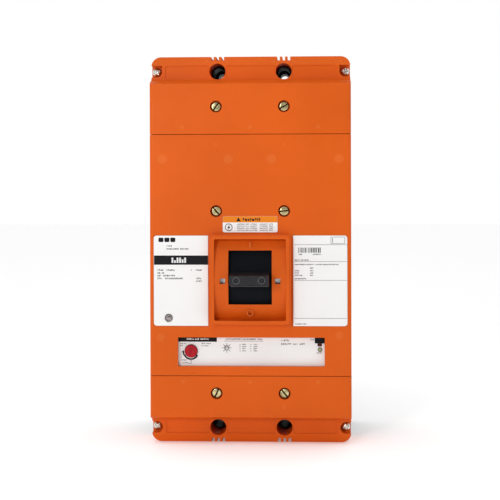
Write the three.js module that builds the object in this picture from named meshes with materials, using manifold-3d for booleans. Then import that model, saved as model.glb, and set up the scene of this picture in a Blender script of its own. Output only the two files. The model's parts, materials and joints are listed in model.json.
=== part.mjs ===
// A three-pole molded case circuit breaker, as an assembly of its real pieces.
// Millimetres. X is to the right, Z is up, the front faces -Y and the back plane is y = 0.
// "Depth" is the distance forward of the back plane, so a point at depth d has y = -d.
import * as THREE from "three";
import Module from "manifold-3d";
import { mergeVertices } from "three/addons/utils/BufferGeometryUtils.js";

const wasm = await Module();
wasm.setup();

// ---- Driving dimensions ----
const caseWidth = 209.6;
const caseHeight = 406.4;
const caseDepth = 139.7;
const stripDepth = 121;
const splitDepth = 84;
const cornerRadius = 10;
const edgeRadius = 4;
const wall = 5;
const sideWall = 6;
const floorThickness = 8;
const gap = 0.3;
const polePitch = caseWidth / 3;
const barrierThickness = 5;

const lineSeam = 120.6;
const loadSeam = -130.4;
const raisedEnd = 173.3;
const endSlope = 5.5;
const bandHeight = 9.5;
const bandDrop = 3.5;
const panelRecess = 0.7;

const holeX = 34.925;
const holeZ = 187.5;
const holeRadius = 4.65;
const boreRadius = 8.5;
const baySize = 41;
const chamberEnd = 166;
const bayStart = 170.5;
const barSlot = { halfWidth: 18, back: 19.5, front: 30.5 };

const cornerScrewX = 99.6;
const pocketHalf = 6.2;
const pocketFloor = 112;
const screwColumnX = 35.3;
const coverScrewRows = [149.5, 40.8, -148.5];
const screwSeat = 134.2;

const pivotDepth = 58;
const pivotZ = -28.5;
const panRadius = 90;
const panWall = 4;
const rimDepth = 148.7;
const openingWidth = 45;
const openingHeight = 56;
const collarZ = -30.1;
const shroudRadius = 84;
const handleReach = 118;

const crossbarDepth = 45;
const crossbarZ = -8;
const crossbarRadius = 8.5;
const barBack = 21;
const barFront = 29;
const barWidth = 34;
const armRestAngle = THREE.MathUtils.degToRad(20.25);

const windowX = 0.7;
const windowZ = -105.5;
const windowWidth = 152.5;
const windowHeight = 30.1;
const knobX = -62.2;
const knobZ = -105.3;
const selectorX = -24.9;
const selectorZ = -102;
const lensX = 72.1;
const lensZ = -103.5;
const portX = 71.9;
const portZ = -93.8;
const buttonX = -85;
const buttonZ = -70.2;
const tripBarDepth = 100;
const tripBarZ = buttonZ - 12;

// ---- Materials ----
const finish = (color, roughness, metalness) =>
  new THREE.MeshStandardMaterial({ color, roughness, metalness });
const orangeMoulding = finish(0xde6a20, 0.45, 0);
const blackMoulding = finish(0x16171a, 0.5, 0);
const brassPlate = finish(0xb09a4e, 0.35, 1);
const nickelPlate = finish(0xc9c5ba, 0.3, 1);
const zincSteel = finish(0xb4b8bb, 0.4, 1);
const springSteel = finish(0x8d8f92, 0.35, 1);
const copper = finish(0xb8693c, 0.35, 1);
const braid = finish(0xa65f3a, 0.6, 1);
const whiteLabel = finish(0xf0f0ee, 0.5, 0);
const amberLabel = finish(0xe8a020, 0.5, 0);
const redPlastic = finish(0xc01828, 0.4, 0);
const greyPlastic = finish(0x8a8178, 0.5, 0);
const greenLens = finish(0x8fa06a, 0.15, 0);
const chuteSteel = finish(0x7c7f84, 0.5, 0.9);
const coilResin = finish(0x2c3a55, 0.6, 0);

const breaker = new THREE.Group();

// ---- Solids ----
function toSolid(geometry) {
  const bare = geometry.clone();
  bare.deleteAttribute("normal");
  bare.deleteAttribute("uv");
  const merged = mergeVertices(bare, 1e-4);
  const vertProperties = new Float32Array(merged.attributes.position.array);
  const triVerts = new Uint32Array(merged.index.array);
  return new wasm.Manifold(new wasm.Mesh({ numProp: 3, vertProperties, triVerts }));
}

function toGeometry(solid) {
  const mesh = solid.getMesh();
  const positions = new THREE.BufferAttribute(mesh.vertProperties, 3);
  const geometry = new THREE.BufferGeometry().setAttribute("position", positions);
  geometry.setIndex(new THREE.BufferAttribute(mesh.triVerts, 1));
  const flat = geometry.toNonIndexed();
  flat.computeVertexNormals();
  return flat;
}

const union = (first, ...others) => others.reduce((body, other) => body.add(other), first);
const without = (body, ...tools) => tools.reduce((left, tool) => left.subtract(tool), body);

function addMesh(name, solid, material, parent = breaker) {
  const mesh = new THREE.Mesh(toGeometry(solid), material);
  mesh.name = name;
  parent.add(mesh);
  return mesh;
}

// A box between two x values, two depths and two z values.
function block(x0, x1, d0, d1, z0, z1) {
  const box = new THREE.BoxGeometry(x1 - x0, d1 - d0, z1 - z0);
  return toSolid(box.translate((x0 + x1) / 2, -(d0 + d1) / 2, (z0 + z1) / 2));
}

// An outline in the X-Z plane, extruded forward from depth d0 to depth d1.
function slab(shape, d0, d1, curveSegments = 5) {
  const depth = d1 - d0;
  const body = new THREE.ExtrudeGeometry(shape, { depth, bevelEnabled: false, curveSegments });
  return toSolid(body.rotateX(Math.PI / 2).translate(0, -d0, 0));
}

// An outline of [depth, z] corners, extruded along X.
function prism(corners, x0, x1) {
  const shape = new THREE.Shape(corners.map(([d, z]) => new THREE.Vector2(d, z)));
  const body = new THREE.ExtrudeGeometry(shape, { depth: x1 - x0, bevelEnabled: false });
  const axes = new THREE.Matrix4().makeBasis(
    new THREE.Vector3(0, -1, 0),
    new THREE.Vector3(0, 0, 1),
    new THREE.Vector3(-1, 0, 0),
  );
  return toSolid(body.applyMatrix4(axes).translate(x1, 0, 0));
}

function roundedRect(centreX, centreZ, width, height, radius) {
  const shape = new THREE.Shape();
  const right = width / 2 - radius;
  const top = height / 2 - radius;
  shape.absarc(centreX + right, centreZ + top, radius, 0, Math.PI / 2);
  shape.absarc(centreX - right, centreZ + top, radius, Math.PI / 2, Math.PI);
  shape.absarc(centreX - right, centreZ - top, radius, Math.PI, Math.PI * 1.5);
  shape.absarc(centreX + right, centreZ - top, radius, Math.PI * 1.5, Math.PI * 2);
  return shape;
}

// A cylinder along Y between two depths.
function postY(x, z, radius, d0, d1, sides = 16) {
  const post = new THREE.CylinderGeometry(radius, radius, d1 - d0, sides);
  return toSolid(post.translate(x, -(d0 + d1) / 2, z));
}

// A cylinder along X between two x values.
function rodX(depth, z, radius, x0, x1, sides = 16) {
  const rod = new THREE.CylinderGeometry(radius, radius, x1 - x0, sides);
  return toSolid(rod.rotateZ(Math.PI / 2).translate((x0 + x1) / 2, -depth, z));
}

// ---- Casings ----
const lineAndLoad = [1, -1];
const leftAndRight = [-1, 1];
const poles = [-1, 0, 1];

function barrierSlots(side) {
  const pitch = 5.5;
  const width = 2.8;
  const reach = 4.2;
  const slots = [];
  for (const x of leftAndRight.map((hand) => hand * holeX)) {
    for (const step of [-1, 0, 1]) {
      const centre = x + step * pitch;
      const ends = [side * (caseHeight / 2 - reach), side * (caseHeight / 2 + 1)];
      const [z0, z1] = ends.sort((a, b) => a - b);
      slots.push(block(centre - width / 2, centre + width / 2, -1, caseDepth, z0, z1));
    }
  }
  return slots;
}

function spanZ(side, near, far) {
  return side > 0 ? [near, far] : [-far, -near];
}

function baseCase() {
  const outline = roundedRect(0, 0, caseWidth, caseHeight, cornerRadius);
  const innerSide = caseWidth / 2 - sideWall;
  let base = slab(outline, 0, splitDepth);
  for (const pole of poles) {
    const left = Math.max(pole * polePitch - polePitch / 2 + barrierThickness / 2, -innerSide);
    const right = Math.min(pole * polePitch + polePitch / 2 - barrierThickness / 2, innerSide);
    base = base.subtract(block(left, right, floorThickness, splitDepth + 1, -chamberEnd, chamberEnd));
    const bay = [pole * polePitch - baySize / 2, pole * polePitch + baySize / 2];
    for (const side of lineAndLoad) {
      const [z0, z1] = spanZ(side, bayStart, caseHeight / 2 + 1);
      const [slot0, slot1] = spanZ(side, chamberEnd - 1, bayStart + 1);
      const centre = pole * polePitch;
      const slotX = [centre - barSlot.halfWidth, centre + barSlot.halfWidth];
      base = base.subtract(block(...bay, floorThickness, splitDepth + 1, z0, z1));
      base = base.subtract(block(...slotX, barSlot.back, barSlot.front, slot0, slot1));
    }
  }
  const notch = crossbarRadius + 1.5;
  const notchFloor = crossbarDepth - notch;
  const notchZ = [crossbarZ - notch, crossbarZ + notch];
  base = base.subtract(block(-innerSide, innerSide, notchFloor, splitDepth + 1, ...notchZ));
  for (const x of leftAndRight.map((hand) => hand * screwColumnX)) {
    for (const z of coverScrewRows) {
      base = base.add(postY(x, z, 7, floorThickness - 1, splitDepth, 12));
      base = base.subtract(postY(x, z, 2.7, 60, splitDepth + 1, 8));
    }
  }
  for (const side of lineAndLoad) {
    for (const hand of leftAndRight) {
      base = base.subtract(postY(hand * holeX, side * holeZ, holeRadius, -1, splitDepth));
      base = base.subtract(postY(hand * holeX, side * holeZ, boreRadius - 1, 30, splitDepth + 1));
      base = base.subtract(postY(hand * cornerScrewX, side * holeZ, 2.7, 66, splitDepth + 1, 8));
    }
    base = without(base, ...barrierSlots(side));
  }
  return base;
}

// The moulded cover's rounded front, as a bar along Z.
function roundedBar(z0, z1) {
  const half = caseWidth / 2;
  const front = caseDepth - edgeRadius;
  const shape = new THREE.Shape();
  shape.moveTo(-half, splitDepth + gap);
  shape.lineTo(half, splitDepth + gap);
  shape.lineTo(half, front);
  shape.absarc(half - edgeRadius, front, edgeRadius, 0, Math.PI / 2);
  shape.absarc(edgeRadius - half, front, edgeRadius, Math.PI / 2, Math.PI);
  const length = z1 - z0;
  const bar = new THREE.ExtrudeGeometry(shape, { depth: length, bevelEnabled: false, curveSegments: 5 });
  // The outline's second axis is depth, so the bar is turned about and mirrored through X.
  const turn = new THREE.Matrix4().makeBasis(
    new THREE.Vector3(1, 0, 0),
    new THREE.Vector3(0, -1, 0),
    new THREE.Vector3(0, 0, -1),
  );
  return toSolid(bar.applyMatrix4(turn).translate(0, 0, z1));
}

// A counterbored column for a cover screw, joined under the cover's face.
function screwColumn(x, z) {
  return postY(x, z, 8.2, splitDepth + gap, caseDepth - 1, 12);
}

function screwHole(body, x, z) {
  return without(
    body,
    postY(x, z, 2.9, splitDepth - 1, caseDepth, 8),
    postY(x, z, 6.2, screwSeat, caseDepth + 1, 24),
  );
}

// A terminal cover: a raised block next to the main cover, and a lower strip at the end of the case.
function terminalCover(side, seam, columnZ) {
  const start = Math.abs(seam) + gap;
  const end = caseHeight / 2;
  const profile = [
    [splitDepth + gap, start],
    [caseDepth, start],
    [caseDepth, raisedEnd],
    [stripDepth, raisedEnd + endSlope],
    [stripDepth, end - bandHeight],
    [stripDepth - bandDrop, end],
    [splitDepth + gap, end],
  ].map(([depth, z]) => [depth, side * z]);
  if (side < 0) profile.reverse();
  const half = caseWidth / 2;
  const outline = roundedRect(0, 0, caseWidth, caseHeight, cornerRadius);
  let cover = prism(profile, -half, half)
    .intersect(slab(outline, splitDepth, caseDepth + 1))
    .intersect(roundedBar(-caseHeight, caseHeight));

  const inner = half - sideWall;
  const raised = spanZ(side, start + 4, chamberEnd);
  cover = cover.subtract(block(-inner, inner, splitDepth, caseDepth - wall, ...raised));
  for (const pole of poles) {
    const bay = [pole * polePitch - baySize / 2, pole * polePitch + baySize / 2];
    const strip = spanZ(side, bayStart, end - sideWall);
    cover = cover.subtract(block(...bay, splitDepth, stripDepth - wall, ...strip));
  }

  // Shallow panels between the hole bosses leave the bosses standing as U shapes.
  const panelEdge = 9;
  const [panel0, panel1] = spanZ(side, raisedEnd + endSlope + 0.5, end - bandHeight);
  const panelHeight = panel1 - panel0;
  const panelZ = (panel0 + panel1) / 2;
  const outerEdge = 90;
  const panels = [
    [0, 2 * (holeX - panelEdge)],
    [-(holeX + panelEdge + outerEdge) / 2, outerEdge - holeX - panelEdge],
    [(holeX + panelEdge + outerEdge) / 2, outerEdge - holeX - panelEdge],
  ];
  for (const [x, width] of panels) {
    const panel = roundedRect(x, panelZ, width, panelHeight, 2);
    cover = cover.subtract(slab(panel, stripDepth - panelRecess, stripDepth + 1, 4));
  }

  for (const hand of leftAndRight) {
    const x = hand * holeX;
    cover = cover.subtract(postY(x, side * holeZ, boreRadius, splitDepth, caseDepth, 32));
    const columnX = hand * screwColumnX;
    cover = screwHole(cover.add(screwColumn(columnX, columnZ)), columnX, columnZ);
    cover = cornerPocket(cover, hand, side);
  }
  return without(cover, ...barrierSlots(side));
}

// The open-sided pocket that holds a corner screw.
function cornerPocket(cover, hand, side) {
  const x = hand * cornerScrewX;
  const z = side * holeZ;
  const outside = hand * (caseWidth / 2 + 1);
  const [x0, x1] = [x, outside].sort((a, b) => a - b);
  const [squareX0, squareX1] = [x - hand * pocketHalf, outside].sort((a, b) => a - b);
  let open = cover.subtract(postY(x, z, pocketHalf, pocketFloor, caseDepth, 24));
  open = open.subtract(block(x0, x1, pocketFloor, caseDepth, z - pocketHalf, z + pocketHalf));
  if (side > 0) {
    open = open.subtract(block(squareX0, squareX1, pocketFloor, caseDepth, z, z + pocketHalf));
  }
  return open.subtract(postY(x, z, 2.9, splitDepth, caseDepth, 8));
}

const labelThickness = 0.6;
const labelBack = caseDepth - 0.4;
const plateTop = 15.4;
const plateBottom = -78.4;
const plateRadius = 3;
const leftPlate = { left: -100.5, right: -43.8 };
const rightPlate = { left: 44.6, right: 100.5 };

// A nameplate's outline: rounded on the side next to the case's edge, square next to the collar.
function plateOutline({ left, right }, grow) {
  const hand = Math.sign(left + right);
  const inner = (hand > 0 ? left : right) - hand * grow;
  const arcX = (hand > 0 ? right : left) - hand * (plateRadius - grow);
  const top = plateTop + grow;
  const bottom = plateBottom - grow;
  const outline = new THREE.Shape();
  outline.moveTo(inner, bottom);
  outline.lineTo(arcX, bottom);
  outline.absarc(arcX, bottom + plateRadius, plateRadius, -Math.PI / 2, hand > 0 ? 0 : -Math.PI, hand < 0);
  outline.absarc(arcX, top - plateRadius, plateRadius, hand > 0 ? 0 : Math.PI, Math.PI / 2, hand < 0);
  outline.lineTo(inner, top);
  outline.closePath();
  return outline;
}

const cautionOutline = (grow) => roundedRect(0, 27.1, 57 + 2 * grow, 17 + 2 * grow, 2);

function mainCover() {
  const start = loadSeam + gap;
  const end = lineSeam - gap;
  const inner = caseWidth / 2 - sideWall;
  let cover = roundedBar(start, end);
  cover = cover.subtract(
    block(-inner, inner, splitDepth, caseDepth - wall, start + 4, end - 4),
  );
  // The escutcheon collar, its convex pan and the hollow that the handle shroud swings in.
  const collar = roundedRect(0, collarZ, 84.4, 93.4, 4.6);
  const collarTop = roundedRect(0, collarZ, 81.6, 90.6, 3.8);
  cover = union(
    cover,
    slab(collar, caseDepth - wall - 1, rimDepth - 1.2),
    slab(collarTop, caseDepth, rimDepth),
  );
  const recess = slab(roundedRect(0, collarZ, 74, 84.2, 1.5), 100, caseDepth + 20);
  const pan = rodX(pivotDepth, pivotZ, panRadius, -60, 60, 72);
  const hollow = rodX(pivotDepth, pivotZ, panRadius - panWall, -37, 37, 60);
  const hollowSpan = block(-37, 37, 100, caseDepth + 20, collarZ - 43, collarZ + 43);
  cover = cover.subtract(recess.subtract(pan)).subtract(hollow.intersect(hollowSpan));
  const opening = roundedRect(0, pivotZ + 0.6, openingWidth, openingHeight, 0.6);
  cover = cover.subtract(slab(opening, 100, caseDepth + 20, 3));
  for (const hand of leftAndRight) {
    const lock = hand * 28.5;
    cover = cover.subtract(
      block(lock - 2.75, lock + 2.75, 120, caseDepth + 20, pivotZ - 5.7, pivotZ - 0.2),
    );
    const x = hand * screwColumnX;
    cover = screwHole(cover.add(screwColumn(x, coverScrewRows[1])), x, coverScrewRows[1]);
  }
  // Label seats, the trip button's hole and the trip unit's window.
  const seatDepth = labelBack - gap;
  for (const plate of [leftPlate, rightPlate]) {
    cover = cover.subtract(slab(plateOutline(plate, gap), seatDepth, caseDepth + 1, 4));
  }
  cover = cover.subtract(slab(cautionOutline(gap), seatDepth, caseDepth + 1, 4));
  cover = cover.subtract(postY(buttonX, buttonZ, 4.3, splitDepth, caseDepth + 1));
  const window = roundedRect(windowX, windowZ, windowWidth, windowHeight, 0.8);
  return cover.subtract(slab(window, splitDepth, caseDepth + 1, 3));
}

// ---- Labels ----
function nameplate(plate) {
  return slab(plateOutline(plate, 0), labelBack, labelBack + labelThickness, 4);
}

const labelPlane = 133.4;

// The test port's T-shaped hole, from a floor depth to the front.
function portHole(floor) {
  const capHole = block(portX - 5.2, portX + 5.2, floor, caseDepth, portZ - 3.3, portZ + 3.6);
  return capHole.add(block(portX - 2.3, portX + 2.3, floor, caseDepth, portZ - 6.4, portZ - 3));
}

function tripUnitLabel() {
  const sheet = roundedRect(windowX, windowZ, windowWidth + 4, windowHeight + 4, 1);
  return without(
    slab(sheet, labelPlane, labelPlane + labelThickness, 3),
    postY(knobX, knobZ, 7, 120, caseDepth, 32),
    postY(selectorX, selectorZ, 2.9, 120, caseDepth, 20),
    postY(lensX, lensZ, 2.3, 120, caseDepth, 16),
    portHole(120),
  );
}

// ---- Fasteners, modelled with the underside of the head at the origin, facing -Y ----
function slottedScrew() {
  const headRadius = 5.2;
  const headHeight = 3.6;
  const profile = [
    [0, -72],
    [2.3, -72],
    [2.3, 0],
    [headRadius, 0],
    [headRadius, headHeight - 0.9],
    [headRadius - 0.5, headHeight - 0.3],
    [headRadius - 1.6, headHeight],
    [0, headHeight],
  ].map(([radius, height]) => new THREE.Vector2(radius, height));
  const screw = toSolid(new THREE.LatheGeometry(profile, 16).rotateX(Math.PI));
  return screw.subtract(block(-6, 6, headHeight - 1.5, headHeight + 1, -0.7, 0.7));
}

function crossScrew() {
  const headRadius = 4.6;
  const headHeight = 3.4;
  const profile = [
    [0, -44],
    [2.3, -44],
    [2.3, 0],
    [headRadius, 0],
    [headRadius, 1.3],
    [headRadius - 1, 2.6],
    [headRadius - 2.6, headHeight],
    [0, headHeight],
  ].map(([radius, height]) => new THREE.Vector2(radius, height));
  const screw = toSolid(new THREE.LatheGeometry(profile, 16).rotateX(Math.PI));
  return without(
    screw,
    block(-3, 3, headHeight - 1.6, headHeight + 1, -0.55, 0.55),
    block(-0.55, 0.55, headHeight - 1.6, headHeight + 1, -3, 3),
  );
}

function addFasteners() {
  const slotAngles = [-55, -30, 50, -8, -65, 50];
  let index = 0;
  for (const z of coverScrewRows) {
    for (const hand of leftAndRight) {
      const screw = addMesh(`cover_screw_${index + 1}`, slottedScrew(), brassPlate);
      screw.position.set(hand * screwColumnX, -(screwSeat + gap), z);
      screw.rotation.y = THREE.MathUtils.degToRad(slotAngles[index]);
      index += 1;
    }
  }
  let corner = 1;
  for (const side of lineAndLoad) {
    for (const hand of leftAndRight) {
      const screw = addMesh(`corner_screw_${corner}`, crossScrew(), nickelPlate);
      screw.position.set(hand * cornerScrewX, -(pocketFloor + gap), side * holeZ);
      screw.rotation.y = THREE.MathUtils.degToRad(25 + 35 * corner);
      corner += 1;
    }
  }
}

// ---- Trip unit ----
function tripUnitCase() {
  const plate = block(windowX - 79, windowX + 79, 126, labelPlane - gap, -123.5, -88.6);
  const body = block(windowX - 79, windowX + 79, 92, 127, -124.5, -97);
  return without(
    plate.add(body),
    postY(knobX, knobZ, 6.9, 125.6, caseDepth, 32),
    postY(selectorX, selectorZ, 2.9, 127.6, caseDepth, 20),
    postY(lensX, lensZ, 2.3, 129.6, caseDepth, 16),
    portHole(129.6),
  );
}

// Rotary pieces are modelled about their own axis, with their back end at the origin.
function ratingKnob() {
  const knob = postY(0, 0, 6.5, 0, 10.6, 32);
  const collarGroove = without(postY(0, 0, 7, 8.2, 8.8), postY(0, 0, 6.1, 8, 9));
  const arrow = union(block(-0.5, 0.5, 9.8, 12, -2.6, 2.2), block(-1.2, 1.2, 9.8, 12, 0.9, 2));
  return without(knob, collarGroove, arrow);
}

function pickupSelector() {
  return postY(0, 0, 2.6, 0, 6.5, 20).subtract(block(-2, 2, 5.6, 7, -0.4, 0.4));
}

function testPortPlug() {
  const cap = block(portX - 4.9, portX + 4.9, 130, 135.4, portZ - 3, portZ + 3);
  const stem = block(portX - 1.9, portX + 1.9, 130, 134.8, portZ - 6, portZ - 2);
  return cap.add(stem);
}

function pushToTripButton() {
  const profile = [
    [0, 112.3],
    [2, 112.3],
    [2, 132.2],
    [5.6, 132.2],
    [5.6, 134.2],
    [3.9, 134.2],
    [3.9, 140.1],
    [3.4, 140.9],
    [2.6, 141.3],
    [2.6, 140.5],
    [0, 141],
  ].map(([radius, height]) => new THREE.Vector2(radius, height));
  return toSolid(new THREE.LatheGeometry(profile, 16).rotateX(Math.PI));
}

// ---- Toggle handle, modelled about its pivot ----
const arcPoint = (radius, angle) => [radius * Math.cos(angle), radius * Math.sin(angle)];

function ringSector(innerRadius, outerRadius, halfAngle, steps) {
  const angles = Array.from({ length: steps + 1 }, (_, i) => halfAngle * ((2 * i) / steps - 1));
  const outer = angles.map((angle) => arcPoint(outerRadius, angle));
  const inner = angles.map((angle) => arcPoint(innerRadius, angle)).reverse();
  return [...outer, ...inner];
}

function toggleHandle() {
  const root = shroudRadius + gap;
  const neck = prism(
    [
      [root, -6.4],
      [handleReach - 1, -5.1],
      [handleReach, -4.2],
      [handleReach, 4.2],
      [handleReach - 1, 5.1],
      [root, 6.4],
    ],
    -19.8,
    19.8,
  );
  const ledge = prism([[root, -8.4], [99, -8], [99, -6], [root, -6]], -19.8, 19.8);
  const sockets = [-12.85, 12.85].map((x) => postY(x, 0, 3.1, handleReach - 3, handleReach + 1, 20));
  const pins = [-12.85, 12.85].map((x) => postY(x, 0, 2.3, handleReach - 4, handleReach - 0.8, 20));
  return union(without(neck.add(ledge), ...sockets), ...pins);
}

function handleShroud() {
  const halfAngle = THREE.MathUtils.degToRad(34.2);
  return prism(ringSector(shroudRadius - 4, shroudRadius, halfAngle, 16), -23.4, 23.4);
}

function handleYoke() {
  const outer = shroudRadius - 4 - gap;
  const web = prism([[outer - 3.5, -6], [outer - 0.3, -6], [outer - 0.3, 6], [outer - 3.5, 6]], -19.5, 19.5);
  const arms = leftAndRight.map((hand) => {
    const [x0, x1] = [hand * 17, hand * 19.5].sort((a, b) => a - b);
    const arm = prism([[0, -7], [outer - 1, -6], [outer - 1, 6], [0, 7]], x0, x1);
    return arm.add(rodX(0, 0, 7, x0, x1)).subtract(rodX(0, 0, 3.4, x0 - 1, x1 + 1, 16));
  });
  return union(web, ...arms);
}

class Helix extends THREE.Curve {
  constructor(radius, length, turns) {
    super();
    Object.assign(this, { radius, length, turns });
  }
  getPoint(t, target = new THREE.Vector3()) {
    const angle = t * this.turns * Math.PI * 2;
    return target.set(this.radius * Math.cos(angle), -t * this.length, this.radius * Math.sin(angle));
  }
}

function toggleSpring() {
  const section = new THREE.Shape().absarc(0, 0, 0.7, 0, Math.PI * 2);
  const path = new Helix(3, 30, 5);
  const options = { steps: 40, extrudePath: path, bevelEnabled: false, curveSegments: 3 };
  return toSolid(new THREE.ExtrudeGeometry(section, options));
}

function addHandle() {
  const handle = new THREE.Group();
  handle.position.set(0, -pivotDepth, pivotZ);
  breaker.add(handle);
  addMesh("toggle_handle", toggleHandle(), blackMoulding, handle);
  addMesh("handle_shroud", handleShroud(), blackMoulding, handle);
  addMesh("handle_yoke", handleYoke(), zincSteel, handle);
  for (const [name, x] of [["toggle_spring_left", -13], ["toggle_spring_right", 13]]) {
    const spring = addMesh(name, toggleSpring(), springSteel, handle);
    spring.position.set(x, -44, 0);
  }
}

// ---- Operating mechanism in the middle pole ----
function mechanismPlate(hand) {
  const inner = hand * 24;
  const outer = hand * 26.5;
  const [x0, x1] = [inner, outer].sort((a, b) => a - b);
  const outline = [
    [floorThickness + gap, -70],
    [78, -70],
    [96, -46],
    [138, -39],
    [138, -23],
    [96, -8],
    [78, 26],
    [floorThickness + gap, 26],
  ];
  const [lip0, lip1] = [inner, hand * 33].sort((a, b) => a - b);
  const [stub0, stub1] = [hand * 15.5, hand * 25].sort((a, b) => a - b);
  return union(
    prism(outline, x0, x1).subtract(rodX(crossbarDepth, crossbarZ, crossbarRadius + 0.6, x0 - 1, x1 + 1)),
    block(lip0, lip1, 136, 138.5, -39, -23),
    rodX(pivotDepth, pivotZ, 3, stub0, stub1, 16),
  );
}

// A flat lever between two eyes, given as [depth, z, radius], with its holes drilled.
function lever(start, end, width, x0, x1, holeRadii) {
  const [d0, z0] = start;
  const [d1, z1] = end;
  const length = Math.hypot(d1 - d0, z1 - z0);
  const across = [((z1 - z0) / length) * (width / 2), (-(d1 - d0) / length) * (width / 2)];
  const corners = [
    [d0 - across[0], z0 - across[1]],
    [d0 + across[0], z0 + across[1]],
    [d1 + across[0], z1 + across[1]],
    [d1 - across[0], z1 - across[1]],
  ];
  let body = union(
    prism(corners, x0, x1),
    rodX(d0, z0, width / 2, x0, x1, 12),
    rodX(d1, z1, width / 2, x0, x1, 12),
  );
  if (holeRadii[0]) body = body.subtract(rodX(d0, z0, holeRadii[0], x0 - 1, x1 + 1, 10));
  if (holeRadii[1]) body = body.subtract(rodX(d1, z1, holeRadii[1], x0 - 1, x1 + 1, 10));
  return body;
}

const cradlePivot = [76, -6];
const cradleTip = [82, -58];
const upperLinkPivot = [77, -22];
const knee = [62, -42];
const linkOffset = [9, -9];
const lowerLinkPivot = [crossbarDepth + linkOffset[0], crossbarZ + linkOffset[1]];
const linkBridge = [57, -30];
const latchPivot = [100, -52];

function cradle() {
  const plate = lever(cradlePivot, cradleTip, 9, -2.4, 2.4, [0, 0]);
  const pivotPin = rodX(...cradlePivot, 2.4, -6, 6, 10);
  return plate.add(pivotPin).subtract(rodX(...upperLinkPivot, 2.4, -3, 3, 10));
}

function upperToggleLink() {
  const cheeks = leftAndRight.map((hand) => {
    const [x0, x1] = [hand * 2.8, hand * 5].sort((a, b) => a - b);
    return lever(upperLinkPivot, knee, 7, x0, x1, [0, 0]);
  });
  return union(rodX(...upperLinkPivot, 2, -5, 5, 10), ...cheeks, rodX(...knee, 2, -5, 5, 10));
}

function lowerToggleLink() {
  const cheeks = leftAndRight.map((hand) => {
    const [x0, x1] = [hand * 7.3, hand * 9].sort((a, b) => a - b);
    return lever(lowerLinkPivot, knee, 6.4, x0, x1, [2.3, 0]);
  });
  return union(cheeks[0], rodX(...linkBridge, 2, -8, 8, 10), cheeks[1]);
}

function latch() {
  return union(lever(latchPivot, [97, -70], 6, -5, 5, [0, 0]), rodX(...latchPivot, 2, -12, 12, 10));
}

function tripBar() {
  const [barDepth, barZ] = [tripBarDepth, tripBarZ];
  const reach = 12;
  return union(
    rodX(barDepth, barZ, 3, -90, 60, 20),
    block(buttonX - 4, buttonX + 4, barDepth - 2, barDepth + 2, barZ, barZ + reach + 2),
    block(buttonX - 4, buttonX + 4, barDepth - 2, barDepth + reach - 0.4, barZ + reach - 3, barZ + reach + 2),
    block(-5, 5, barDepth - 1.5, barDepth + 1.5, barZ, barZ + 7),
  );
}

function addMechanism() {
  addMesh("mechanism_plate_left", mechanismPlate(-1), zincSteel);
  addMesh("mechanism_plate_right", mechanismPlate(1), zincSteel);
  addMesh("cradle", cradle(), zincSteel);
  addMesh("upper_toggle_link", upperToggleLink(), zincSteel);
  addMesh("lower_toggle_link", lowerToggleLink(), zincSteel);
  addMesh("latch", latch(), zincSteel);
  addMesh("trip_bar", tripBar(), blackMoulding);
}

// ---- Crossbar and contact arms, modelled closed about the crossbar's axis, then swung open ----
// A place next to the crossbar at rest, turned back to where it lies on the closed arm.
function closedPlace([depth, z]) {
  const cos = Math.cos(armRestAngle);
  const sin = Math.sin(armRestAngle);
  return [depth * cos - z * sin, depth * sin + z * cos];
}

function contactArm(isMiddle) {
  const halfWidth = 7;
  const hub = rodX(0, 0, 12.5, -halfWidth, halfWidth);
  const blade = block(-halfWidth, halfWidth, -4, 4, 5, 80);
  const tip = block(-halfWidth + 1, halfWidth - 1, -7.7, -3, 66, 80);
  // The middle arm's hub carries the pin that the lower toggle link hangs on.
  const [depth, z] = closedPlace(linkOffset);
  const linkPin = rodX(depth, z, 2, -9, 9, 10);
  const arm = union(hub, blade, tip, ...(isMiddle ? [linkPin] : []));
  return arm.subtract(rodX(0, 0, crossbarRadius + gap, -halfWidth - 1, halfWidth + 1));
}

function addCrossbar() {
  const group = new THREE.Group();
  group.position.set(0, -crossbarDepth, crossbarZ);
  group.rotation.x = armRestAngle;
  breaker.add(group);
  addMesh("crossbar", rodX(0, 0, crossbarRadius, -97, 97), blackMoulding, group);
  poles.forEach((pole, i) => {
    const arm = addMesh(`contact_arm_${i + 1}`, contactArm(pole === 0), copper, group);
    arm.position.x = pole * polePitch;
  });
}

// ---- Current path and arc chutes, one set to a pole, modelled about the pole's middle ----
const barEnd = 196;

function lineTerminal() {
  const half = barWidth / 2;
  const bar = block(-half, half, barBack, barFront, 57, barEnd);
  const contact = block(-9, 9, barFront - 1, crossbarDepth - 8, 57, 73);
  return union(bar, contact).subtract(postY(0, 184, 6.6, 0, splitDepth, 24));
}

function loadConductor() {
  const half = barWidth / 2;
  const bar = block(-half, half, barBack, barFront, -barEnd, -40);
  return bar.subtract(postY(0, -184, 6.6, 0, splitDepth, 24));
}

function flexibleShunt() {
  const thickness = 4;
  const path = new THREE.CatmullRomCurve3([
    new THREE.Vector3(barFront + gap + thickness / 2, -76, 0),
    new THREE.Vector3(barFront + 1 + thickness / 2, -58, 0),
    new THREE.Vector3(38, -47, 0),
    new THREE.Vector3(47, -38, 0),
    new THREE.Vector3(46, -24, 0),
  ]);
  const steps = 14;
  const sides = [[], []];
  for (let i = 0; i <= steps; i += 1) {
    const point = path.getPoint(i / steps);
    const tangent = path.getTangent(i / steps);
    const offset = [(-tangent.y * thickness) / 2, (tangent.x * thickness) / 2];
    sides[0].push([point.x - offset[0], point.y - offset[1]]);
    sides[1].push([point.x + offset[0], point.y + offset[1]]);
  }
  return prism([...sides[0], ...sides[1].reverse()], -12, 12);
}

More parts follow.
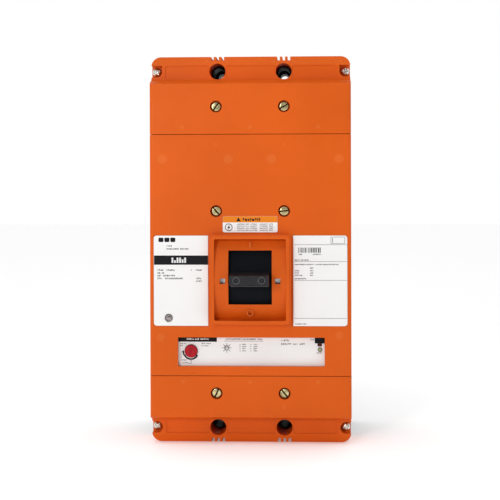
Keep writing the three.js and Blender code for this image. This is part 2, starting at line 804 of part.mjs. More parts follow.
function arcChute() {
  const plates = 8;
  const pitch = 8.4;
  const cheeks = leftAndRight.map((hand) => {
    const [x0, x1] = [hand * 20, hand * 22].sort((a, b) => a - b);
    return block(x0, x1, 32, 98, 76, 115);
  });
  const stack = Array.from({ length: plates }, (_, i) => {
    const depth = 35 + i * pitch;
    const plate = block(-20.5, 20.5, depth, depth + 2, 78, 114);
    return plate.subtract(block(-5, 5, depth - 1, depth + 3, 70, 96));
  });
  return union(cheeks[0], ...stack, cheeks[1]);
}

function currentTransformer() {
  const ring = block(-26, 26, floorThickness + 1, 41, -96, -84);
  return ring.subtract(block(-18.5, 18.5, 19, 31, -97, -83));
}

function addPoles() {
  poles.forEach((pole, i) => {
    const group = new THREE.Group();
    group.position.x = pole * polePitch;
    breaker.add(group);
    const number = i + 1;
    addMesh(`line_terminal_${number}`, lineTerminal(), copper, group);
    addMesh(`load_conductor_${number}`, loadConductor(), copper, group);
    addMesh(`flexible_shunt_${number}`, flexibleShunt(), braid, group);
    addMesh(`arc_chute_${number}`, arcChute(), chuteSteel, group);
    addMesh(`current_transformer_${number}`, currentTransformer(), coilResin, group);
  });
}

function addTripUnit() {
  addMesh("trip_unit_case", tripUnitCase(), blackMoulding);
  addMesh("trip_unit_label", tripUnitLabel(), whiteLabel);
  const knob = addMesh("rating_knob", ratingKnob(), redPlastic);
  knob.position.set(knobX, -126, knobZ);
  const selector = addMesh("pickup_selector", pickupSelector(), greyPlastic);
  selector.position.set(selectorX, -128, selectorZ);
  addMesh("status_lens", postY(lensX, lensZ, 2, 130, 134.6, 16), greenLens);
  addMesh("test_port_plug", testPortPlug(), blackMoulding);
  const button = addMesh("push_to_trip_button", pushToTripButton(), greyPlastic);
  button.position.set(buttonX, 0, buttonZ);
}

function addCasings() {
  addMesh("base_case", baseCase(), blackMoulding);
  addMesh("main_cover", mainCover(), orangeMoulding);
  addMesh("line_terminal_cover", terminalCover(1, lineSeam, coverScrewRows[0]), orangeMoulding);
  addMesh("load_terminal_cover", terminalCover(-1, loadSeam, coverScrewRows[2]), orangeMoulding);
}

function addLabels() {
  const buttonHole = postY(buttonX, buttonZ, 4.3, 120, caseDepth + 1);
  addMesh("left_nameplate", nameplate(leftPlate).subtract(buttonHole), whiteLabel);
  addMesh("right_nameplate", nameplate(rightPlate), whiteLabel);
  const caution = slab(cautionOutline(0), labelBack, labelBack + labelThickness, 4);
  addMesh("caution_label", caution, amberLabel);
}

addCasings();
addFasteners();
addLabels();
addTripUnit();
addHandle();
addMechanism();
addCrossbar();
addPoles();

export default breaker;
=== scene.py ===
"""A three-pole molded case breaker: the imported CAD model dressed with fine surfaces, print and light."""

import json
import math
import random

import bmesh
import bpy
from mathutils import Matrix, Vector


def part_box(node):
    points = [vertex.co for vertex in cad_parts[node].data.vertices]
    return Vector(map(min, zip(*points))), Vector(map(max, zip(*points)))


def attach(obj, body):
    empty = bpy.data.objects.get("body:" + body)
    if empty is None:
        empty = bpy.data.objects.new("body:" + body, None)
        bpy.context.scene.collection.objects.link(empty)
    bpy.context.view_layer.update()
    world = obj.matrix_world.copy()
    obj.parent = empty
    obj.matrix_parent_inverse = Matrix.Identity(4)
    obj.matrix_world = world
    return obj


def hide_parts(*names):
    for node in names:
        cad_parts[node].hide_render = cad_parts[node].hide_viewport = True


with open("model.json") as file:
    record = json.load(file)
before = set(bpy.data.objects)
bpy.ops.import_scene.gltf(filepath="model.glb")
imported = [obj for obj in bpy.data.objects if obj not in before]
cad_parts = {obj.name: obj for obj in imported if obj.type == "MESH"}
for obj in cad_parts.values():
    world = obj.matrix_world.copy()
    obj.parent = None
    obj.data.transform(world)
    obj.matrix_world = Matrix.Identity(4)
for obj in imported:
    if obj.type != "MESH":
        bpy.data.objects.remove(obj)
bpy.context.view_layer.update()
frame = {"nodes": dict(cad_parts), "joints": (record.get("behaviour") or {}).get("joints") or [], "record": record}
MM = 0.001

# ---- Sizes worked out from the frame ----
FACE_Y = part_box("line_terminal_cover")[0].y
CASE_BOTTOM = min(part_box("base_case")[0].z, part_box("load_terminal_cover")[0].z)
PRINT_THICKNESS = 0.00006


# ---- Materials ----
def new_material(name, color, roughness, metallic=0.0, **sockets):
    material = bpy.data.materials.new(name)
    material.use_nodes = True
    shader = material.node_tree.nodes["Principled BSDF"]
    shader.inputs["Base Color"].default_value = (*color, 1)
    shader.inputs["Roughness"].default_value = roughness
    shader.inputs["Metallic"].default_value = metallic
    for socket, value in sockets.items():
        shader.inputs[socket.replace("_", " ")].default_value = value
    return material


def add_node(material, kind, **values):
    node = material.node_tree.nodes.new(kind)
    for name, value in values.items():
        if name in node.inputs:
            node.inputs[name].default_value = value
        else:
            setattr(node, name, value)
    return node


def link(material, source, target):
    material.node_tree.links.new(source, target)


def noise(material, scale, detail=4.0, stretch=(1, 1, 1)):
    """Noise in the row frame, in metres, so that it doesn't depend on a piece's own size."""
    place = add_node(material, "ShaderNodeTexCoord")
    mapping = add_node(material, "ShaderNodeMapping")
    mapping.inputs["Scale"].default_value = stretch
    texture = add_node(material, "ShaderNodeTexNoise")
    texture.inputs["Scale"].default_value = scale
    texture.inputs["Detail"].default_value = detail
    link(material, place.outputs["Object"], mapping.inputs["Vector"])
    link(material, mapping.outputs["Vector"], texture.inputs["Vector"])
    return texture.outputs["Fac"]


def ramp(material, source, low, high, start=0.35, end=0.65):
    node = add_node(material, "ShaderNodeValToRGB")
    node.color_ramp.elements[0].position = start
    node.color_ramp.elements[1].position = end
    node.color_ramp.elements[0].color = (*low, 1) if len(low) == 3 else low
    node.color_ramp.elements[1].color = (*high, 1) if len(high) == 3 else high
    link(material, source, node.inputs["Fac"])
    return node.outputs["Color"]


def vary_color(material, scale, low, high, start=0.35, end=0.65, detail=4.0, stretch=(1, 1, 1)):
    shader = material.node_tree.nodes["Principled BSDF"]
    color = ramp(material, noise(material, scale, detail, stretch), low, high, start, end)
    link(material, color, shader.inputs["Base Color"])
    return color


def vary_roughness(material, scale, low, high, detail=3.0, stretch=(1, 1, 1)):
    shader = material.node_tree.nodes["Principled BSDF"]
    spread = add_node(material, "ShaderNodeMapRange")
    spread.inputs["From Min"].default_value = 0.3
    spread.inputs["From Max"].default_value = 0.7
    spread.inputs["To Min"].default_value = low
    spread.inputs["To Max"].default_value = high
    link(material, noise(material, scale, detail, stretch), spread.inputs["Value"])
    link(material, spread.outputs["Result"], shader.inputs["Roughness"])


def add_bump(material, scale, strength, distance, detail=3.0, stretch=(1, 1, 1)):
    shader = material.node_tree.nodes["Principled BSDF"]
    bump = add_node(material, "ShaderNodeBump")
    bump.inputs["Strength"].default_value = strength
    bump.inputs["Distance"].default_value = distance
    link(material, noise(material, scale, detail, stretch), bump.inputs["Height"])
    link(material, bump.outputs["Normal"], shader.inputs["Normal"])


def speckle(material, color, scale, spot_color, start, end):
    """Lays small spots of another colour over a colour socket."""
    mask = ramp(material, noise(material, scale, 6.0), (0, 0, 0), (1, 1, 1), start, end)
    mix = add_node(material, "ShaderNodeMix", data_type="RGBA")
    link(material, mask, mix.inputs["Factor"])
    link(material, color, mix.inputs["A"])
    mix.inputs["B"].default_value = (*spot_color, 1)
    shader = material.node_tree.nodes["Principled BSDF"]
    link(material, mix.outputs["Result"], shader.inputs["Base Color"])


def shade(color, factor):
    return tuple(channel * factor for channel in color)


def orange_moulding(name="orange_thermoset", orange=(0.67, 0.103, 0.005)):
    material = new_material(name, orange, 0.42, Specular_IOR_Level=0.14)
    color = vary_color(material, 11, shade(orange, 0.93), shade(orange, 1.06), 0.3, 0.7, 6.0)
    speckle(material, color, 900, shade(orange, 1.12), 0.66, 0.74)
    vary_roughness(material, 35, 0.36, 0.48)
    add_bump(material, 1500, 0.10, 0.0002)
    return material


def black_moulding(name="black_thermoset", dust=0.016, shine=0.08, grain=420):
    black = (0.006, 0.007, 0.009)
    material = new_material(name, black, 0.45, Specular_IOR_Level=shine)
    color = vary_color(material, 18, black, shade(black, 1.5), 0.3, 0.7)
    speckle(material, color, grain, (dust, dust, dust), 0.52, 0.85)
    vary_roughness(material, 60, 0.34, 0.55)
    add_bump(material, 1300, 0.12, 0.0002)
    return material


def painted_shade_by_depth(material, front, floor, dark):
    """Paints shade into a plated head's slots: full colour at the front plane, dark at the slot's floor."""
    shader = material.node_tree.nodes["Principled BSDF"]
    color = shader.inputs["Base Color"].links[0].from_socket
    place = add_node(material, "ShaderNodeTexCoord")
    split = add_node(material, "ShaderNodeSeparateXYZ")
    link(material, place.outputs["Object"], split.inputs["Vector"])
    spread = add_node(material, "ShaderNodeMapRange")
    spread.inputs["From Min"].default_value = front
    spread.inputs["From Max"].default_value = floor
    link(material, split.outputs["Y"], spread.inputs["Value"])
    mix = add_node(material, "ShaderNodeMix", data_type="RGBA")
    link(material, spread.outputs["Result"], mix.inputs["Factor"])
    link(material, color, mix.inputs["A"])
    mix.inputs["B"].default_value = (*dark, 1)
    link(material, mix.outputs["Result"], shader.inputs["Base Color"])


def plated_metal(name, color, dark, roughness, grain=(1, 1, 1)):
    material = new_material(name, color, roughness, 1.0)
    vary_color(material, 260, dark, color, 0.25, 0.6, 5.0, grain)
    vary_roughness(material, 500, roughness * 0.75, roughness * 1.35, 3.0, grain)
    add_bump(material, 1800, 0.12, 0.0001, 3.0, grain)
    return material


def printed_film(name, color, roughness=0.38):
    material = new_material(name, color, roughness, Specular_IOR_Level=0.15)
    paint = vary_color(material, 22, shade(color, 0.975), color, 0.35, 0.6)
    speckle(material, paint, 1400, shade(color, 0.9), 0.7, 0.78)
    vary_roughness(material, 90, roughness * 0.85, roughness * 1.2)
    add_bump(material, 400, 0.04, 0.0001)
    return material


def moulded_plastic(name, color, roughness=0.35):
    material = new_material(name, color, roughness, Specular_IOR_Level=0.2)
    vary_color(material, 120, shade(color, 0.85), shade(color, 1.1))
    vary_roughness(material, 300, roughness * 0.8, roughness * 1.3)
    add_bump(material, 1600, 0.1, 0.0001)
    return material


def woven_copper(name):
    color = (0.5, 0.22, 0.11)
    material = new_material(name, color, 0.45, 1.0)
    vary_color(material, 400, shade(color, 0.5), color, 0.3, 0.6)
    place = add_node(material, "ShaderNodeTexCoord")
    waves = []
    for turn in (0.8, -0.8):
        mapping = add_node(material, "ShaderNodeMapping")
        mapping.inputs["Rotation"].default_value = (0, turn, 0)
        wave = add_node(material, "ShaderNodeTexWave")
        wave.inputs["Scale"].default_value = 260
        link(material, place.outputs["Object"], mapping.inputs["Vector"])
        link(material, mapping.outputs["Vector"], wave.inputs["Vector"])
        waves.append(wave.outputs["Fac"])
    weave = add_node(material, "ShaderNodeMath", operation="MULTIPLY")
    link(material, waves[0], weave.inputs[0])
    link(material, waves[1], weave.inputs[1])
    bump = add_node(material, "ShaderNodeBump")
    bump.inputs["Strength"].default_value = 0.7
    bump.inputs["Distance"].default_value = 0.0006
    link(material, weave.outputs["Value"], bump.inputs["Height"])
    shader = material.node_tree.nodes["Principled BSDF"]
    link(material, bump.outputs["Normal"], shader.inputs["Normal"])
    return material


ORANGE = orange_moulding()
ORANGE_MARK = orange_moulding("orange_thermoset_witness", (0.69, 0.126, 0.015))
BLACK = black_moulding()
BLACK_HANDLE = black_moulding("black_thermoset_handle", 0.02, 0.3)
BLACK_SHROUD = black_moulding("black_thermoset_shroud", 0.009, 0.025, 90)
BRASS = plated_metal("yellow_zinc_plate", (0.66, 0.58, 0.31), (0.24, 0.2, 0.09), 0.24)
NICKEL = plated_metal("nickel_plate", (0.78, 0.75, 0.68), (0.42, 0.39, 0.33), 0.22)
ZINC = plated_metal("zinc_plate", (0.66, 0.67, 0.68), (0.48, 0.49, 0.5), 0.36)
WIRE = plated_metal("spring_wire", (0.36, 0.36, 0.37), (0.2, 0.2, 0.21), 0.3)
COPPER = plated_metal(
    "silver_flashed_copper", (0.72, 0.38, 0.24), (0.5, 0.22, 0.12), 0.3, (1, 1, 0.15)
)
CHUTE = plated_metal("oxidised_steel", (0.26, 0.26, 0.27), (0.15, 0.13, 0.12), 0.45)
BRAID = woven_copper("copper_braid")
WHITE = printed_film("white_film", (0.85, 0.85, 0.84))
INK = printed_film("black_print", (0.004, 0.004, 0.006), 0.5)
GREY_INK = printed_film("grey_print", (0.1, 0.1, 0.11), 0.5)
MID_INK = printed_film("mid_print", (0.25, 0.25, 0.26), 0.5)
PALE_INK = printed_film("pale_print", (0.74, 0.74, 0.74), 0.5)
AMBER = printed_film("amber_print", (0.78, 0.22, 0.012), 0.4)
RED = moulded_plastic("red_plastic", (0.40, 0.003, 0.011), 0.32)
DARK_RED = moulded_plastic("dark_red_plastic", (0.10, 0.008, 0.01), 0.35)
GREY = moulded_plastic("grey_plastic", (0.19, 0.16, 0.145), 0.4)
DARK_CHROME = plated_metal("dark_chrome", (0.34, 0.31, 0.3), (0.2, 0.18, 0.17), 0.16)
PALE_PLASTIC = moulded_plastic("pale_plastic", (0.68, 0.67, 0.66), 0.4)
PALE_RIM = moulded_plastic("pale_rim", (0.12, 0.12, 0.125), 0.35)
GREEN = moulded_plastic("indicator_lens", (0.34, 0.38, 0.2), 0.12)
RESIN = moulded_plastic("cast_resin", (0.03, 0.05, 0.1), 0.5)

SLOT_MATERIALS = {
    "orange_moulding": ORANGE,
    "black_moulding": BLACK,
    "brass_plate": BRASS,
    "nickel_plate": NICKEL,
    "zinc_steel": ZINC,
    "spring_steel": WIRE,
    "copper": COPPER,
    "copper_braid": BRAID,
    "white_label": WHITE,
    "amber_label": WHITE,
    "red_plastic": RED,
    "grey_plastic": GREY,
    "green_lens": GREEN,
    "chute_steel": CHUTE,
    "coil_resin": RESIN,
}
NODE_SLOT = {row["node"]: row["material_slot"] for row in frame["record"]["subparts"]}
NODE_BODY = {node: body for body, nodes in frame["record"]["behaviour"]["bodies"].items() for node in nodes}


# ---- Piece builders ----
def new_piece(name, mesh, material, body):
    piece = bpy.data.objects.new(name, mesh)
    bpy.context.scene.collection.objects.link(piece)
    mesh.materials.clear()
    mesh.materials.append(material)
    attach(piece, body)
    return piece


def round_front_edges(work, plane, width):
    """Rounds the sharp edges that lie in the plane y = plane."""
    tolerance = 0.00005
    sharp_angle = 0.3
    edges = [
        edge
        for edge in work.edges
        if all(abs(vertex.co.y - plane) < tolerance for vertex in edge.verts)
        and edge.calc_face_angle(0) > sharp_angle
    ]
    bmesh.ops.bevel(
        work, geom=edges, offset=width, segments=4, profile=0.5, affect="EDGES", clamp_overlap=True
    )


def refine(node, width, material=None, segments=3, sharp_from=50, front_round=0):
    """A copy of a CAD node with flat facets joined and edges rounded, standing for the node."""
    source = frame["nodes"][node]
    same_place = 0.000002
    same_plane = math.radians(0.6)
    mesh = bpy.data.meshes.new("fine_" + node)
    work = bmesh.new()
    work.from_mesh(source.data)
    bmesh.ops.remove_doubles(work, verts=work.verts, dist=same_place)
    bmesh.ops.dissolve_limit(
        work, angle_limit=same_plane, verts=work.verts, edges=work.edges, delimit={"NORMAL"}
    )
    if front_round:
        round_front_edges(work, min(vertex.co.y for vertex in work.verts), front_round)
    work.to_mesh(mesh)
    work.free()
    slot = NODE_SLOT[node]
    piece = new_piece("fine_" + node, mesh, material or SLOT_MATERIALS[slot], NODE_BODY[node])
    bevel = piece.modifiers.new("edge", "BEVEL")
    bevel.width = width
    bevel.segments = segments
    bevel.limit_method = "ANGLE"
    bevel.angle_limit = math.radians(sharp_from)
    bevel.use_clamp_overlap = True
    bevel.harden_normals = False
    for polygon in mesh.polygons:
        polygon.use_smooth = True
    weighted = piece.modifiers.new("normals", "WEIGHTED_NORMAL")
    weighted.keep_sharp = True
    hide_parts(node)
    return piece


def plate_mesh(name, outlines, back, front):
    """Thin plates facing -Y, each from an outline of (x, z) corners in metres, counter-clockwise."""
    mesh = bpy.data.meshes.new(name)
    work = bmesh.new()
    for outline in outlines:
        rear = [work.verts.new((x, back, z)) for x, z in outline]
        face = [work.verts.new((x, front, z)) for x, z in outline]
        work.faces.new(face)
        work.faces.new(list(reversed(rear)))
        count = len(outline)
        for i in range(count):
            j = (i + 1) % count
            work.faces.new((face[i], rear[i], rear[j], face[j]))
    bmesh.ops.recalc_face_normals(work, faces=work.faces)
    work.to_mesh(mesh)
    work.free()
    return mesh


def rectangle(x0, x1, z0, z1):
    return [(x0, z0), (x1, z0), (x1, z1), (x0, z1)]


def arc(x, z, radius, start, end, steps):
    angles = [math.radians(start + (end - start) * i / steps) for i in range(steps + 1)]
    return [(x + radius * math.cos(a), z + radius * math.sin(a)) for a in angles]


def disc(x, z, radius, steps=28):
    return arc(x, z, radius, 0, 360 - 360 / steps, steps - 1)


def ring_band(x, z, inner, outer, start, end, steps=24):
    return arc(x, z, outer, start, end, steps) + list(reversed(arc(x, z, inner, start, end, steps)))


def rounded(x0, x1, z0, z1, radius, steps=6):
    corners = [(x1 - radius, z1 - radius, 0), (x0 + radius, z1 - radius, 90)]
    corners += [(x0 + radius, z0 + radius, 180), (x1 - radius, z0 + radius, 270)]
    return [point for x, z, turn in corners for point in arc(x, z, radius, turn, turn + 90, steps)]


def mm(outline):
    return [(x * MM, z * MM) for x, z in outline]


def print_on(name, outlines, surface_y, material, body="case", height=PRINT_THICKNESS, sink=0.00002):
    """Print laid on a surface facing -Y at surface_y. Outlines are in millimetres."""
    mesh = plate_mesh(name, [mm(outline) for outline in outlines], surface_y + sink, surface_y - height)
    return new_piece(name, mesh, material, body)


def word_marks(x, z, height, lengths, seed):
    """Greeked print: a line of small dashes, one group for each length in lengths, with no letters."""
    dice = random.Random(seed)
    marks = []
    for length in lengths:
        end = x + length
        while x < end - height * 0.3:
            stroke = height * dice.uniform(0.35, 0.8)
            low = z + height * dice.choice((0, 0, 0.25))
            high = z + height * dice.choice((1, 0.75, 1))
            marks.append(rectangle(x, min(x + stroke, end), low, high))
            x += stroke + height * 0.28
        x = end + height * 0.8
    return marks


# ---- Camera ----
def add_camera():
    """A long lens, held level a little to the right of and above the front's centre, shifted down."""
    distance = 1.255
    turn = math.radians(2.4)
    rise = 0.074
    aim_height = 0.0004
    data = bpy.data.cameras.new("camera")
    data.sensor_width = 36
    data.lens = 87.1
    data.shift_y = -(rise - aim_height) / distance * data.lens / data.sensor_width
    data.clip_end = 50
    camera = bpy.data.objects.new("camera", data)
    bpy.context.scene.collection.objects.link(camera)
    camera.location = (distance * math.sin(turn), FACE_Y - distance * math.cos(turn), rise)
    roll = math.radians(0.15)
    camera.rotation_euler = (math.radians(90), roll, turn)
    bpy.context.scene.camera = camera


# ---- Casings ----
def dress_casings():
    refine("main_cover", 0.0007, segments=3, front_round=0.0011)
    refine("line_terminal_cover", 0.0008, segments=3)
    refine("load_terminal_cover", 0.0008, segments=3)
    refine("base_case", 0.0010, segments=2)


def witness_marks():
    """Faint round marks that the ejector pins left on the moulded faces."""
    small = 2.3
    large = 5.0
    line_face = [disc(x, 128.0, small) for x in (-70.5, 0.0, 70.5)]
    main_face = [disc(x, 94.8, large) for x in (-91.5, -22.6, 22.2, 92.0)]
    main_face += [disc(-93.5, -90.5, 4.2), disc(92, -88, 4.2)]
    main_face += [disc(-35.6, 110, 1.6), disc(35.0, 110, 1.6)]
    load_face = [disc(x, -136.5, small) for x in (-70, -0.3, 70)] + [disc(35, -162.5, small)]
    marks = line_face + main_face + load_face
    print_on("witness_marks", marks, FACE_Y, ORANGE_MARK, height=0.00005)
    strip_y = FACE_Y + 18.7 * MM
    strip = [disc(x, 198.0, 1.8) for x in (-45.8, -25.3, 24.4, 45.4, 95)]
    band_y = strip_y + 1.5 * MM
    print_on("witness_marks_strip", strip, band_y, ORANGE_MARK, height=0.0003, sink=0.0006)


def position_marks():
    """Moulded I and O marks at the two ends of the escutcheon pan."""
    pan_low, pan_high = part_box("toggle_handle")
    middle = (pan_low.z + pan_high.z) / 2 / MM
    pan_axis = 58
    pan_radius = 90
    offset = 35.2
    surface = -(pan_axis + math.sqrt(pan_radius**2 - offset**2)) * MM
    bar = [rounded(-1.0, 1.0, middle + offset - 3.2, middle + offset + 3.2, 0.6)]
    print_on("on_mark", bar, surface, ORANGE_MARK, height=0.0022, sink=0.0022)
    halves = [ring_band(0, middle - offset, 2.4, 3.5, start, start + 180) for start in (0, 180)]
    print_on("off_mark", halves, surface, ORANGE_MARK, height=0.0022, sink=0.0022)


# ---- Labels ----
def dress_labels():
    for node in ("left_nameplate", "right_nameplate", "caution_label", "trip_unit_label"):
        refine(node, 0.00012, WHITE, segments=2)


def left_nameplate_print():
    low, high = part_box("left_nameplate")
    left, right, top = low.x / MM, high.x / MM, high.z / MM
    surface = low.y
    body = [rectangle(left + 0.3, right - 0.1, top - 30.3, top - 20.7)]
    print_on("left_plate_band", body, surface, INK)
    starts = [left + 5 + 6.2 * i for i in range(3)]
    emblem = [rounded(start, start + 5.2, top - 6.7, top - 2.2, 0.9) for start in starts]
    print_on("left_plate_emblem", emblem, surface, INK)
    lines = word_marks(left + 13.5, top - 11.5, 1.5, (5.5,), 3)
    lines += word_marks(left + 13.5, top - 14.6, 1.5, (13, 9), 4)
    rows = (
        (36.7, ((3.9, 6), (13.1, 9), (38.7, 1.4), (43.7, 6.5))),
        (39.6, ((3.9, 3.8), (8.4, 2.4))),
        (42.5, ((3.9, 3.4), (9.8, 12.5))),
        (45.4, ((3.9, 4.2), (12, 19), (44.8, 5.4))),
        (48.2, ((44.3, 5.9),)),
    )
    for seed, (drop, words) in enumerate(rows):
        for start, length in words:
            lines += word_marks(left + start, top - drop, 1.7, (length,), 5 + seed)
    print_on("left_plate_print", lines, surface, GREY_INK)
    heights = (5.4, 2.6, 5.4, 5.4, 3.6, 5.4)
    bar_width = 1.9
    foot = top - 28.3
    title = []
    for i, height in enumerate(heights):
        start = left + 18.6 + 2.65 * i
        title.append(rectangle(start, start + bar_width, foot, foot + height))
    print_on("left_plate_title", title, surface - PRINT_THICKNESS, PALE_INK)


def right_nameplate_print():
    low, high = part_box("right_nameplate")
    left, right, top = low.x / MM, high.x / MM, high.z / MM
    surface = low.y
    rules = [top - 9.7 - drop for drop in (0, 17.5, 36.9, 76.3)]
    lines = [rectangle(left + 1, right - 0.6, z, z + 0.35) for z in rules]
    x0, x1, z0, z1 = right - 17, right - 2.4, top - 8.6, top - 1.4
    edge = 0.4
    frame_sides = [
        rectangle(x0, x1, z0, z0 + edge),
        rectangle(x0, x1, z1 - edge, z1),
        rectangle(x0, x0 + edge, z0, z1),
        rectangle(x1 - edge, x1, z0, z1),
        rectangle(x0 + 1.6, x0 + 2.2, z0 + 1.2, z1 - 1.2),
    ]
    bars = []
    dice = random.Random(40)
    x = left + 5.4
    while x < left + 28.4:
        width = dice.uniform(0.45, 1.1)
        bars.append(rectangle(x, x + width, top - 17.8, top - 12.5))
        x += width + dice.uniform(0.6, 1.2)
    print_on("right_plate_bars", bars, surface, INK)
    words = (
        (20.2, 5.8, 3.8),
        (20.2, 20.5, 8.4),
        (26.1, 1.4, 15),
        (30.7, 1.6, 20),
        (30.7, 23, 24),
        (34.4, 17.5, 4),
        (37.1, 1.6, 4.6),
        (37.1, 17.5, 3),
        (39.5, 1.6, 4),
        (39.5, 17.5, 3),
        (41.9, 1.6, 7.5),
        (41.9, 17.5, 3),
        (45.4, 1.6, 12.5),
        (92.2, 2, 12),
    )
    for seed, (drop, start, length) in enumerate(words):
        lines += word_marks(left + start, top - drop, 1.3, (length,), 41 + seed)
    print_on("right_plate_print", lines + frame_sides, surface, GREY_INK)


def caution_print():
    low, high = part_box("caution_label")
    left, right, top = low.x / MM, high.x / MM, high.z / MM
    surface = low.y
    corner = 1.9
    inset = 0.1
    header = arc(right - inset - corner, top - inset - corner, corner, 0, 90, 6)
    header += arc(left + inset + corner, top - inset - corner, corner, 90, 180, 6)
    header += [(left + inset, top - 6.6), (right - inset, top - 6.6)]
    print_on("caution_header", [header], surface, AMBER)
    middle = (left + right) / 2
    triangle = [(middle - 14.5, top - 5.4), (middle - 9.7, top - 5.4), (middle - 12.1, top - 1.4)]
    heading = [triangle] + word_marks(middle - 7.6, top - 5.0, 3.0, (18,), 80)
    print_on("caution_heading", heading, surface - PRINT_THICKNESS, INK)
    body = []
    for row in range(4):
        body += word_marks(left + 15, top - 8.9 - 2.1 * row, 1.1, (8, 4, 7), 81 + row)
        body += word_marks(left + 38.5, top - 8.9 - 2.1 * row, 1.1, (9, 4), 91 + row)
    print_on("caution_print", body, surface, GREY_INK)
    sign = [ring_band(left + 6.3, top - 11.6, 3.2, 3.9, start, start + 180) for start in (0, 180)]
    print_on("caution_sign", sign, surface, INK)
    bolt = [
        (left + 7.4, top - 8.6),
        (left + 4.6, top - 12.2),
        (left + 6.2, top - 12.2),
        (left + 5.2, top - 14.8),
        (left + 8.2, top - 11.1),
        (left + 6.6, top - 11.1),
    ]
    print_on("caution_bolt", [bolt], surface, INK)


def trip_label_print():
    window_low, window_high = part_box("trip_unit_label")
    surface = window_low.y
    left = (window_low.x / MM) + 2
    right = (window_high.x / MM) - 2
    top = (window_high.z / MM) - 2
    knob_low, knob_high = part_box("rating_knob")
    knob_x = (knob_low.x + knob_high.x) / 2 / MM
    knob_z = (knob_low.z + knob_high.z) / 2 / MM
    print_on("trip_label_band", [rectangle(left, left + 40.3, top - 5.2, top)], surface, INK)
    title = word_marks(left + 9, top - 3.2, 1.7, (7, 4.5, 9), 101)
    print_on("trip_label_title", title, surface - PRINT_THICKNESS, PALE_INK)
    scale = [ring_band(knob_x - 0.4, knob_z - 0.4, 7.1, 8.7, 174, 215, 12)]
    scale.append(ring_band(knob_x - 0.2, knob_z - 1.2, 6.5, 8.2, 204, 336, 30))
    print_on("rating_scale", scale, surface, INK)
    selector_low, selector_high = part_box("pickup_selector")
    dial_x = (selector_low.x + selector_high.x) / 2 / MM
    dial_z = (selector_low.z + selector_high.z) / 2 / MM
    rays = []
    for step in range(8):
        angle = math.radians(45 * step)
        along = Vector((math.cos(angle), math.sin(angle)))
        side = Vector((-along.y, along.x)) * 0.24
        near, far = along * 3.1, along * 5.2
        corners = [near - side, far - side, far + side, near + side]
        rays.append([(dial_x + c.x, dial_z + c.y) for c in corners])
    marks = word_marks(dial_x - 1.5, top - 3.2, 1.4, (17, 14, 6), 102)
    marks.append(rectangle(dial_x - 3, dial_x + 38, top - 4.6, top - 4.2))
    for row in range(4):
        z = dial_z + 3.0 - 2.2 * row
        marks.append(rectangle(dial_x + 13, dial_x + 14.8, z + 0.3, z + 0.7))
        marks += word_marks(dial_x + 16.4, z, 1.2, (3.6,), 103 + row)
        marks.append(rectangle(dial_x + 24, dial_x + 25.8, z + 0.3, z + 0.7))
        marks += word_marks(dial_x + 28, z, 1.2, (3.8,), 113 + row)
    marks += word_marks(left + 2, top - 7.6, 1.1, (3, 2.6), 123)
    marks += word_marks(left + 2, top - 9.8, 1.1, (3,), 124)
    marks += word_marks(left + 24.5, top - 7.6, 1.1, (4, 4.5), 125)
    marks += word_marks(left + 24.5, top - 10, 1.1, (2.2, 4), 126)
    marks += word_marks(left + 2.5, top - 24.8, 1.1, (6,), 127)
    marks += word_marks(left + 4.4, top - 27.7, 1.1, (5.4,), 128)
    marks += word_marks(right - 15, top - 3.4, 1.2, (4,), 131)
    marks += word_marks(right - 8.2, top - 17.2, 1.3, (5,), 132)
    pointers = [
        rectangle(left + 2.6, left + 3.0, top - 23.2, top - 15.4),
        rectangle(left + 2.6, left + 6.2, top - 15.8, top - 15.4),
        rectangle(knob_x - 0.2, knob_x + 0.2, top - 28, top - 24.2),
        rectangle(knob_x - 3.4, knob_x + 0.2, top - 28, top - 27.6),
    ]
    heading = word_marks(right - 45.2, top - 4.6, 2.0, (8.5,), 129)
    heading += word_marks(right - 45.2, top - 8.3, 2.0, (11, 5, 6), 130)
    print_on("trip_label_heading", heading, surface, MID_INK)
    print_on("trip_label_print", marks + rays + pointers, surface, GREY_INK)


# ---- Controls ----
def dress_controls():
    refine("rating_knob", 0.0004, RED)
    refine("pickup_selector", 0.0002, PALE_PLASTIC)
    refine("status_lens", 0.0004, GREEN)
    refine("test_port_plug", 0.0003, BLACK)
    refine("push_to_trip_button", 0.0003, DARK_CHROME)
    refine("trip_unit_case", 0.0005)
    low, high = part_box("pickup_selector")
    x, z = (low.x + high.x) / 2 / MM, (low.z + high.z) / 2 / MM
    # Painted shade: the two dark bars above the centre stand for the shaded slot line, and a dark ring goes round
    # the centre.
    ring_and_slot_shade = [ring_band(x, z, 1.9, 2.3, start, start + 180, 16) for start in (0, 180)]
    ring_and_slot_shade += [rectangle(x - 1.7, x - 0.5, z + 0.6, z + 1.2)]
    ring_and_slot_shade += [rectangle(x + 0.5, x + 1.7, z + 0.6, z + 1.2)]
    print_on("selector_ring_and_slot_shade", ring_and_slot_shade, low.y, INK, body="pickup_selector")
    low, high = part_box("status_lens")
    x, z = (low.x + high.x) / 2 / MM, (low.z + high.z) / 2 / MM
    rim = [ring_band(x, z, 1.5, 2.4, start, start + 180, 16) for start in (0, 180)]
    label_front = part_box("trip_unit_label")[0].y
    print_on("status_lens_rim", rim, label_front, INK, height=0.0004)
    low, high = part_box("test_port_plug")
    x = (low.x + high.x) / 2 / MM
    tab = [rounded(x - 1.5, x + 1.5, low.z / MM + 0.3, low.z / MM + 3.0, 0.6)]
    print_on("test_port_tab", tab, low.y + 0.6 * MM, DARK_RED, height=0.0003)


